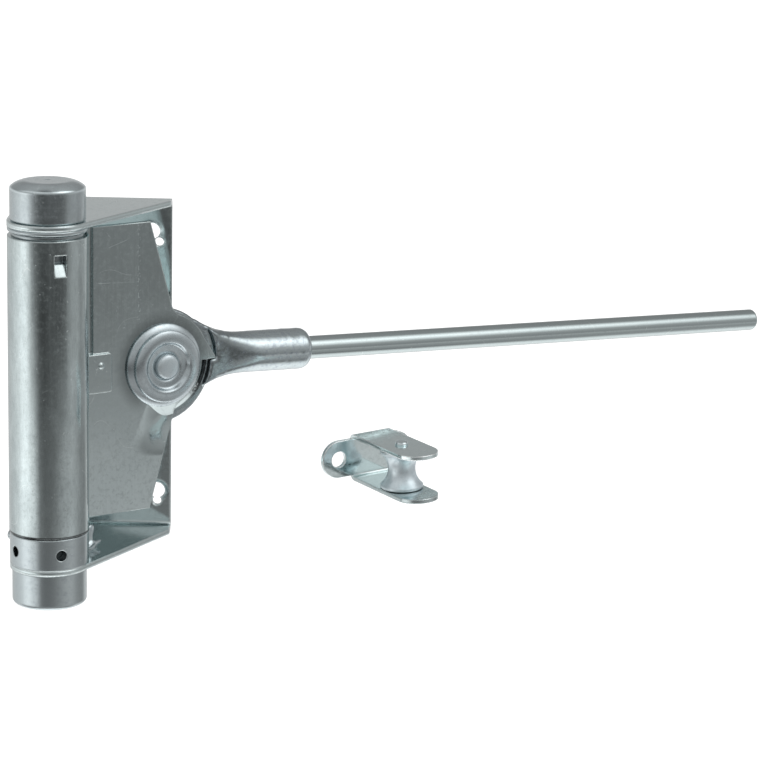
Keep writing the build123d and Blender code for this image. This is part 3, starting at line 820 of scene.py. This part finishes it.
class GateCloserArm(bpy.types.PropertyGroup):
    """How finely the forging is remeshed and how far it is worn round."""

    mesh_grain: length("Mesh grain", "Size of the forging's mesh", 0.00045)
    all_rounds: rounds("Rounds", "Rounds of smoothing all over", 14)
    throat_rounds: rounds("Throat rounds", "Further rounds on the throat, done twice", 45)
    let_out: length("Let out", "Thickness that smoothing takes off the throat", 0.0003)


class GateCloserPivot(bpy.types.PropertyGroup):
    """Sizes of the washers, the rivet and the leaf's rolled nose, from the leaf's front."""

    base_radius: length("Base radius", "Radius of the washer on the leaf", 0.01625)
    base_height: length("Base height", "Height of the washer on the leaf", 0.0023)
    base_cone: length("Base cone", "Width of the cone on that washer's rim", 0.0028)
    cup_radius: length("Cup radius", "Radius of the dished washer", 0.0140)
    crown_radius: length("Crown radius", "Radius of the dished washer's crown", 0.0106)
    cup_crown: length("Crown height", "Height of the crown over the base washer", 0.0023)
    floor_radius: length("Floor radius", "Radius of the dished washer's floor", 0.0082)
    cup_floor: length("Floor height", "Height of the floor over the base washer", 0.0008)
    stub_height: length("Stub height", "Height of the rivet's front end over the leaf", 0.0046)
    stub_round: length("Stub round", "Rounding of the rivet's front end", 0.0012)
    rivet_head_height: length("Head height", "Height of the rivet's rear head", 0.0032)
    roll_inside: length("Roll inside", "Where the rolled nose starts, from the pivot", 0.0161)
    roll_outside: length("Roll outside", "Where the rolled nose ends, from the pivot", 0.0208)
    roll_depth: length("Roll depth", "How far the nose is rolled back", 0.00214)
    roll_start: angle("Roll start", "Where the roll starts, from the arm's side", -1.5)
    roll_end: angle("Roll end", "Where the roll fades into the leaf", -118.0)


class GateCloserWeld(bpy.types.PropertyGroup):
    """Sizes of the weld on the lower ear."""

    crest_turn: angle("Crest", "Where the weld's crest stands round the collar", 50.0)
    half_spread: angle("Half spread", "Half of the angle that the weld covers", 27.0)
    climb: length("Climb", "How high the crest climbs the collar", 0.0062)
    run: length("Run", "How far the toe runs out over the ear", 0.0085)


class GateCloserStage(bpy.types.PropertyGroup):
    """Camera, floor and light."""

    focal_length: bpy.props.FloatProperty(
        name="Focal length", description="The camera's focal length, in millimetres",
        unit="CAMERA", min=1, default=132.54)
    camera_place: bpy.props.FloatVectorProperty(
        name="Camera place", description="Where the camera stands", subtype="TRANSLATION",
        size=3, default=(0.1124, -1.0733, 0.2590))
    camera_pitch: bpy.props.FloatProperty(
        name="Pitch", description="How far the camera looks down", subtype="ANGLE",
        default=0.242)
    camera_yaw: bpy.props.FloatProperty(
        name="Yaw", description="How far the camera looks to the right", subtype="ANGLE",
        default=0.012)
    camera_roll: bpy.props.FloatProperty(
        name="Roll", description="How far the camera leans", subtype="ANGLE", default=0.024)
    floor_reach: length("Floor reach", "Half of the floor's side", 9.0)
    floor_tint: tint("Floor tint", "Colour of the floor", (0.7, 0.7, 0.7))


class GATECLOSER_OT_sheet(bpy.types.Operator):
    """Gives the folded and rolled sheet parts their plating"""

    bl_idname = "gatecloser.sheet"
    bl_label = "Sheet parts"

    def execute(self, context):
        finish = context.scene.gate_closer_sheet
        # The plate's edges are worn round wider, which widens their painted highlight
        dress(["back_bracket"], zinc("zinc_plate", finish, "forged", edge=0.0014, shade=1.25))
        dress(["barrel_leaf"], zinc("zinc_rolled_sheet", finish, "sheet", BARREL,
                                    extra=nose_dish, shade=leaf_shade))
        dress(["roller_bracket"], zinc("zinc_clevis", finish, "forged", shade=clevis_shade))
        return {"FINISHED"}


class GATECLOSER_OT_turned(bpy.types.Operator):
    """Gives the turned parts their plating"""

    bl_idname = "gatecloser.turned"
    bl_label = "Turned parts"

    def execute(self, context):
        finish = context.scene.gate_closer_turned
        pale = context.scene.gate_closer_roller
        dress(["thrust_washer", "tension_collar", "lower_bush", "tension_pin"],
              zinc("zinc_turned_on_barrel", finish, "turned", BARREL))
        dress(["upper_cap"], zinc("zinc_cap", finish, "turned", BARREL, shade=cap_shade))
        # The spring plug is painted darker, as painted shade in the gap under the thrust washer
        # and inside the tube
        dress(["upper_spring_plug"],
              zinc("zinc_spring_plug", finish, "turned", BARREL, shade=0.75))
        dress(["tension_plug"],
              zinc("zinc_tension_plug", finish, "turned", BARREL, shade=plug_shade))
        dress(["rivet_washer"], zinc("zinc_rear_washer", finish, "turned", PIVOT))
        dress(["roller_axle"], zinc("zinc_axle", finish, "forged", shade=1.4))
        dress(["roller"], zinc("zinc_roller", pale, "forged"))
        return {"FINISHED"}


class GATECLOSER_OT_pivot(bpy.types.Operator):
    """Turns the rivet and its washers, and rolls the leaf's nose round them"""

    bl_idname = "gatecloser.pivot"
    bl_label = "Pivot"

    def execute(self, context):
        sizes = context.scene.gate_closer_pivot
        pale = context.scene.gate_closer_roller
        on_pivot = zinc("zinc_turned_on_pivot", pale, "turned", PIVOT, edge=0.0010, shade=0.72,
                        rough=-0.20)
        worked = zinc("zinc_rivet", pale, "forged", PIVOT, edge=0.0012, shade=0.85)
        for made, node, finish in ((base_washer(sizes), "pivot_base_washer", on_pivot),
                                   (cup_washer(sizes), "pivot_cup_washer", on_pivot),
                                   (rivet(sizes), "pivot_rivet", worked)):
            made.data.materials.append(finish)
            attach(made, "barrel")
            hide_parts(node)
        roll = nose_roll(sizes)
        roll.data.materials.append(zinc("zinc_nose", context.scene.gate_closer_sheet, "forged",
                                         PIVOT, shade=nose_shade))
        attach(roll, "barrel")
        return {"FINISHED"}


class GATECLOSER_OT_arm(bpy.types.Operator):
    """Gives the forged eye and the rod their plating"""

    bl_idname = "gatecloser.arm"
    bl_label = "Arm"

    def execute(self, context):
        eye = forging(context.scene.gate_closer_arm)
        eye.data.materials.append(zinc("zinc_forging", context.scene.gate_closer_forged,
                                       "forged", ARM, shade=throat_shade))
        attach(eye, "arm")
        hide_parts("arm_socket")
        dress(["arm_rod"], zinc("zinc_rod", context.scene.gate_closer_sheet, "drawn", ARM))
        return {"FINISHED"}


class GATECLOSER_OT_spring(bpy.types.Operator):
    """Gives the wound spring its oiled steel"""

    bl_idname = "gatecloser.spring"
    bl_label = "Torsion spring"

    def execute(self, context):
        finish = context.scene.gate_closer_spring
        dress(["torsion_spring"], zinc("spring_steel", finish, "forged"))
        return {"FINISHED"}


class GATECLOSER_OT_weld(bpy.types.Operator):
    """Lays the weld bead between collar and ear"""

    bl_idname = "gatecloser.weld"
    bl_label = "Weld"

    def execute(self, context):
        bead = weld_bead(context.scene.gate_closer_weld)
        finish = context.scene.gate_closer_forged
        bead.data.materials.append(zinc("zinc_weld", finish, "forged"))
        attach(bead, "bracket")
        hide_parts("collar_weld")
        return {"FINISHED"}


class GATECLOSER_OT_stage(bpy.types.Operator):
    """Sets up the pale floor, the studio light and the camera"""

    bl_idname = "gatecloser.stage"
    bl_label = "Stage"

    def execute(self, context):
        stage = context.scene.gate_closer_stage
        self.floor(stage)
        self.studio(context.scene)
        self.camera(context.scene, stage)
        context.scene.view_settings.view_transform = "Standard"
        return {"FINISHED"}

    def floor(self, stage):
        """A flat square under the lowest point. Reflections pass it by."""
        side = np.linspace(-stage.floor_reach, stage.floor_reach, 3)
        x, y = np.meshgrid(side, side, indexing="ij")
        made = grid_mesh("floor", np.stack([x, y, np.full_like(x, cad_low.z)], -1))
        material, tree = new_material("pale_floor")
        shader = tree.node("ShaderNodeBsdfPrincipled", None,
                           {"Base Color": opaque(stage.floor_tint), "Roughness": 0.9,
                            "Emission Color": opaque((1, 1, 1)), "Emission Strength": 0.8})
        tree.node("ShaderNodeOutputMaterial", None, {"Surface": shader})
        made.data.materials.append(material)
        made.visible_glossy = False
        made.visible_shadow = False

    def studio(self, scene):
        """Light by direction: soft boxes left and above, darker where the camera stands.

        Directions that fall a little have their own light round the object, in a band whose
        share is a bell curve of the height. Elsewhere the light goes by the angle up, in front
        of the object and behind it, and high up the front is dimmed all but on the right."""
        world = bpy.data.worlds.new("studio")
        scene.world = world
        world.use_nodes = True
        tree = Tree(world.node_tree)
        x, y, z = tree.split(tree.node("ShaderNodeTexCoord", output="Generated"))
        turn = tree.math("ARCTAN2", x, -1.0 * y) / (2 * math.pi) + 0.5
        round_high = tree.ramp(turn, ROUND_HIGH, -180, 180)
        round_low = tree.ramp(turn, ROUND_LOW, -180, 180)
        around = tree.blend(tree.step(z, -0.29, -0.21), round_low, round_high)

        rise = tree.math("ARCSINE", z) / math.pi + 0.5
        dim = (1.0 - tree.step(turn, 0.56, 0.67)) * tree.step(z, 0.2, 0.4) * 0.6
        front = tree.blend(dim, tree.ramp(rise, UPRIGHT_FRONT, -90, 90), opaque((0, 0, 0)))
        back = tree.ramp(rise, UPRIGHT_BACK, -90, 90)
        upright = tree.blend(tree.step(y, -0.15, 0.35), front, back)

        from_band = (z - BAND_MIDDLE) / BAND_WIDTH
        band = tree.math("EXPONENT", from_band * from_band * -1.0)
        light = tree.blend(band, upright, around)
        shader = tree.node("ShaderNodeBackground", None,
                           {"Color": light, "Strength": STUDIO_STRENGTH})
        tree.node("ShaderNodeOutputWorld", None, {"Surface": shader})

    def camera(self, scene, stage):
        """The photograph's viewpoint: pitch, yaw and roll from a level camera that faces +Y."""
        data = bpy.data.cameras.new("camera")
        data.sensor_width = 36
        data.lens = stage.focal_length
        data.clip_start = 0.05
        data.clip_end = 100
        made = bpy.data.objects.new("camera", data)
        scene.collection.objects.link(made)
        pitch, yaw, roll = stage.camera_pitch, stage.camera_yaw, stage.camera_roll
        forward = np.array([math.sin(yaw) * math.cos(pitch), math.cos(yaw) * math.cos(pitch),
                            -math.sin(pitch)])
        aside = np.array([math.cos(yaw), -math.sin(yaw), 0.0])
        upright = np.cross(aside, forward)
        right = math.cos(roll) * aside + math.sin(roll) * upright
        up = math.cos(roll) * upright - math.sin(roll) * aside
        matrix = np.eye(4)
        matrix[:3, :3] = np.stack([right, up, -forward], -1)
        matrix[:3, 3] = stage.camera_place
        made.matrix_world = Matrix(matrix.tolist())
        scene.camera = made


class GATECLOSER_PT_panel(bpy.types.Panel):
    """Lists the closer's pieces and their sizes"""

    bl_label = "Gate closer"
    bl_idname = "GATECLOSER_PT_panel"
    bl_space_type = "VIEW_3D"
    bl_region_type = "UI"
    bl_category = "Gate closer"

    def draw(self, context):
        for operator in OPERATORS:
            self.layout.operator(operator.bl_idname)
        for name, kind in GROUPS.items():
            box = self.layout.box()
            for key in kind.__annotations__:
                box.prop(getattr(context.scene, name), key)


OPERATORS = (GATECLOSER_OT_stage, GATECLOSER_OT_sheet, GATECLOSER_OT_turned,
             GATECLOSER_OT_pivot, GATECLOSER_OT_arm, GATECLOSER_OT_spring, GATECLOSER_OT_weld)
GROUPS = {
    "gate_closer_sheet": GateCloserSheetFinish,
    "gate_closer_turned": GateCloserTurnedFinish,
    "gate_closer_forged": GateCloserForgedFinish,
    "gate_closer_roller": GateCloserRollerFinish,
    "gate_closer_spring": GateCloserSpringFinish,
    "gate_closer_arm": GateCloserArm,
    "gate_closer_pivot": GateCloserPivot,
    "gate_closer_weld": GateCloserWeld,
    "gate_closer_stage": GateCloserStage,
}


def register():
    """Registers the classes and puts each group of settings on the scene."""
    for kind in (*GROUPS.values(), *OPERATORS, GATECLOSER_PT_panel):
        bpy.utils.register_class(kind)
    for name, kind in GROUPS.items():
        setattr(bpy.types.Scene, name, bpy.props.PointerProperty(type=kind))


def unregister():
    """Takes away what register added, in the opposite order."""
    for name in GROUPS:
        delattr(bpy.types.Scene, name)
    for kind in (GATECLOSER_PT_panel, *reversed(OPERATORS), *reversed(GROUPS.values())):
        bpy.utils.unregister_class(kind)


def main():
    """Registers the add-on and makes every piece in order."""
    register()
    for operator in OPERATORS:
        group, name = operator.bl_idname.split(".")
        getattr(getattr(bpy.ops, group), name)()


if __name__ == "__main__":
    main()
